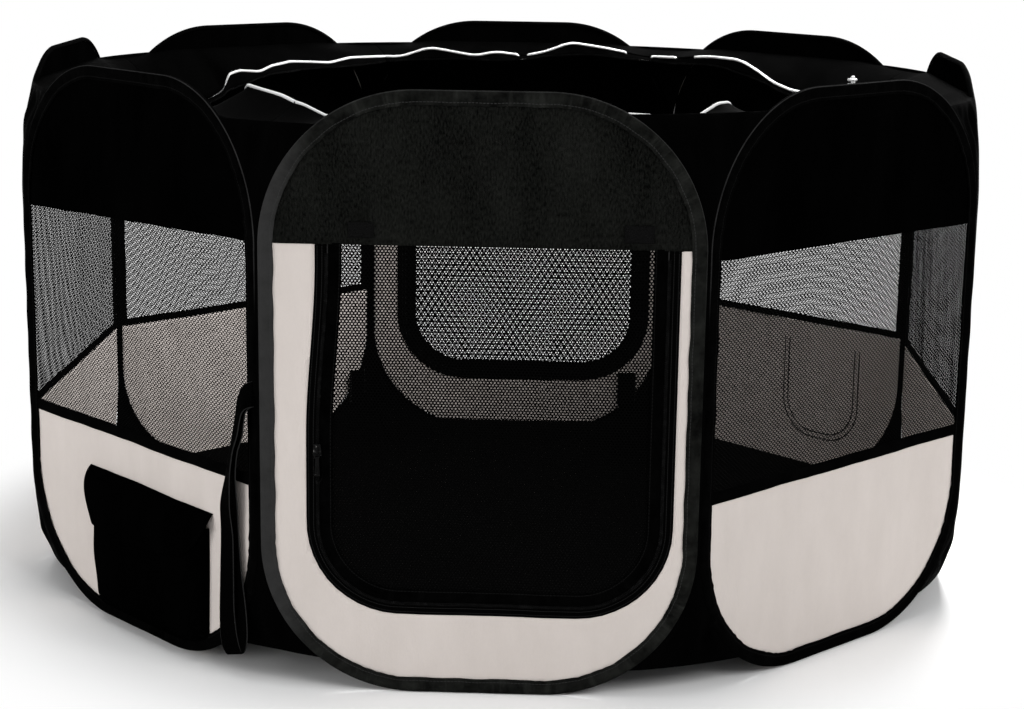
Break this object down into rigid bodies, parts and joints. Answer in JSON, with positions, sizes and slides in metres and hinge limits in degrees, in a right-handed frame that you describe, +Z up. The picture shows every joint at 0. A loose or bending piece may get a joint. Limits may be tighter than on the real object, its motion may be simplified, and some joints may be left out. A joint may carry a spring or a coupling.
{
  "type": "foldable puppy playpen",
  "caption": "Octagonal fabric playpen for puppies: spring-wire panels with net windows, two zip doors, pockets and a sewn floor, folding at its corners.",
  "frame": {"origin": "on the ground at the centre of the octagon", "axes": "+Z up; -Y towards the front door; +X to the right of someone who faces the front door"},
  "size_m": [1.0146, 1.0202, 0.58],
  "materials": {
    "spring_steel": "spring steel wire, hidden in the binding",
    "black_binding_tape": "black polyester binding tape",
    "black_oxford_cloth": "black coated Oxford cloth",
    "black_net": "black hexagonal polyester net",
    "cream_oxford_cloth": "pale cream Oxford cloth",
    "black_webbing": "black woven webbing",
    "black_zip": "black zip tape with a nylon coil",
    "dark_zip_metal": "black painted zip slider"
  },
  "bodies": {
    "front_panel": {"front_wire": "spring_steel", "front_binding": "black_binding_tape", "front_upper_cloth": "black_oxford_cloth", "front_door_surround": "cream_oxford_cloth", "front_zip_tape": "black_zip", "front_corner_gusset": "black_oxford_cloth", "front_left_corner_gusset": "black_oxford_cloth", "floor_cloth": "black_oxford_cloth", "top_flange": "black_oxford_cloth"},
    "front_right_panel": {"front_right_wire": "spring_steel", "front_right_binding": "black_binding_tape", "front_right_upper_cloth": "black_oxford_cloth", "front_right_net_window": "black_net", "front_right_lower_cloth": "cream_oxford_cloth", "front_right_corner_gusset": "black_oxford_cloth"},
    "right_panel": {"right_wire": "spring_steel", "right_binding": "black_binding_tape", "right_upper_cloth": "black_oxford_cloth", "right_net_window": "black_net", "right_lower_cloth": "cream_oxford_cloth", "right_corner_gusset": "black_oxford_cloth"},
    "back_right_panel": {"back_right_wire": "spring_steel", "back_right_binding": "black_binding_tape", "back_right_upper_cloth": "black_oxford_cloth", "back_right_net_window": "black_net", "back_right_lower_cloth": "cream_oxford_cloth", "back_right_corner_gusset": "black_oxford_cloth", "bottle_pocket": "black_oxford_cloth"},
    "back_panel": {"back_wire": "spring_steel", "back_binding": "black_binding_tape", "back_upper_cloth": "black_oxford_cloth", "back_door_surround": "cream_oxford_cloth", "back_zip_tape": "black_zip", "back_floor_tab": "black_webbing"},
    "back_left_panel": {"back_left_wire": "spring_steel", "back_left_binding": "black_binding_tape", "back_left_upper_cloth": "black_oxford_cloth", "back_left_net_window": "black_net", "back_left_lower_cloth": "cream_oxford_cloth", "back_corner_gusset": "black_oxford_cloth", "back_left_floor_tab": "black_webbing"},
    "left_panel": {"left_wire": "spring_steel", "left_binding": "black_binding_tape", "left_upper_cloth": "black_oxford_cloth", "left_net_window": "black_net", "left_lower_cloth": "cream_oxford_cloth", "back_left_corner_gusset": "black_oxford_cloth"},
    "front_left_panel": {"front_left_wire": "spring_steel", "front_left_binding": "black_binding_tape", "front_left_upper_cloth": "black_oxford_cloth", "front_left_net_window": "black_net", "front_left_lower_cloth": "cream_oxford_cloth", "left_corner_gusset": "black_oxford_cloth", "storage_pocket": "black_oxford_cloth"},
    "front_door": {"front_door_leaf": "black_net"},
    "front_door_slider": {"front_zip_slider": "dark_zip_metal"},
    "back_door": {"back_door_leaf": "black_net"},
    "back_door_slider": {"back_zip_slider": "dark_zip_metal"},
    "pocket_flap": {"pocket_flap": "black_oxford_cloth"},
    "storage_strap": {"storage_strap": "black_webbing"}
  },
  "joints": [
    {"name": "front_corner_fold", "type": "hinge", "parent": "front_panel", "child": "front_right_panel", "pos_m": [0.20755, -0.50107, 0.29], "axis": [0, 0, 1], "range_deg": [0, 128], "deforming": ["floor_cloth", "top_flange", "front_corner_gusset", "back_corner_gusset"]},
    {"name": "front_right_corner_fold", "type": "hinge", "parent": "front_right_panel", "child": "right_panel", "pos_m": [0.50607, -0.20962, 0.29], "axis": [0, 0, 1], "range_deg": [-128, 0], "deforming": ["front_right_corner_gusset"]},
    {"name": "right_corner_fold", "type": "hinge", "parent": "right_panel", "child": "back_right_panel", "pos_m": [0.50107, 0.20755, 0.29], "axis": [0, 0, 1], "range_deg": [0, 128], "deforming": ["right_corner_gusset"]},
    {"name": "back_right_corner_fold", "type": "hinge", "parent": "back_right_panel", "child": "back_panel", "pos_m": [0.20962, 0.50607, 0.29], "axis": [0, 0, 1], "range_deg": [-128, 0], "deforming": ["back_right_corner_gusset"]},
    {"name": "front_left_corner_fold", "type": "hinge", "parent": "front_panel", "child": "front_left_panel", "pos_m": [-0.20962, -0.50607, 0.29], "axis": [0, 0, 1], "range_deg": [0, 128], "deforming": ["front_left_corner_gusset"]},
    {"name": "left_corner_fold", "type": "hinge", "parent": "front_left_panel", "child": "left_panel", "pos_m": [-0.50107, -0.20755, 0.29], "axis": [0, 0, 1], "range_deg": [-128, 0], "deforming": ["left_corner_gusset"]},
    {"name": "back_left_corner_fold", "type": "hinge", "parent": "left_panel", "child": "back_left_panel", "pos_m": [-0.50607, 0.20962, 0.29], "axis": [0, 0, 1], "range_deg": [0, 128], "deforming": ["back_left_corner_gusset"]},
    {"name": "front_door_swing", "type": "hinge", "parent": "front_panel", "child": "front_door", "pos_m": [0.01, -0.50507, 0.437], "axis": [-1, 0, 0], "range_deg": [0, 170]},
    {"name": "front_zip_travel", "type": "slide", "parent": "front_door", "child": "front_door_slider", "axis": [0, 0, 1], "range_m": [-0.065, 0.15]},
    {"name": "back_door_swing", "type": "hinge", "parent": "back_panel", "child": "back_door", "pos_m": [0.009, 0.50507, 0.437], "axis": [1, 0, 0], "range_deg": [0, 170]},
    {"name": "back_zip_travel", "type": "slide", "parent": "back_door", "child": "back_door_slider", "axis": [0, 0, 1], "range_m": [-0.065, 0.15]},
    {"name": "pocket_flap_lift", "type": "hinge", "parent": "front_left_panel", "child": "pocket_flap", "pos_m": [-0.35756, -0.35756, 0.1595], "axis": [-0.7071, 0.7071, 0], "range_deg": [0, 110]},
    {"name": "storage_strap_swing", "type": "hinge", "parent": "front_left_panel", "child": "storage_strap", "pos_m": [-0.2149, -0.50482, 0.303], "axis": [-0.7071, 0.7071, 0], "range_deg": [0, 90]}
  ],
  "couplings": [
    {"joint": "front_right_corner_fold", "follows": "front_corner_fold", "ratio": -1},
    {"joint": "right_corner_fold", "follows": "front_corner_fold", "ratio": 1},
    {"joint": "back_right_corner_fold", "follows": "front_corner_fold", "ratio": -1},
    {"joint": "front_left_corner_fold", "follows": "front_corner_fold", "ratio": 1},
    {"joint": "left_corner_fold", "follows": "front_corner_fold", "ratio": -1},
    {"joint": "back_left_corner_fold", "follows": "front_corner_fold", "ratio": 1}
  ]
}
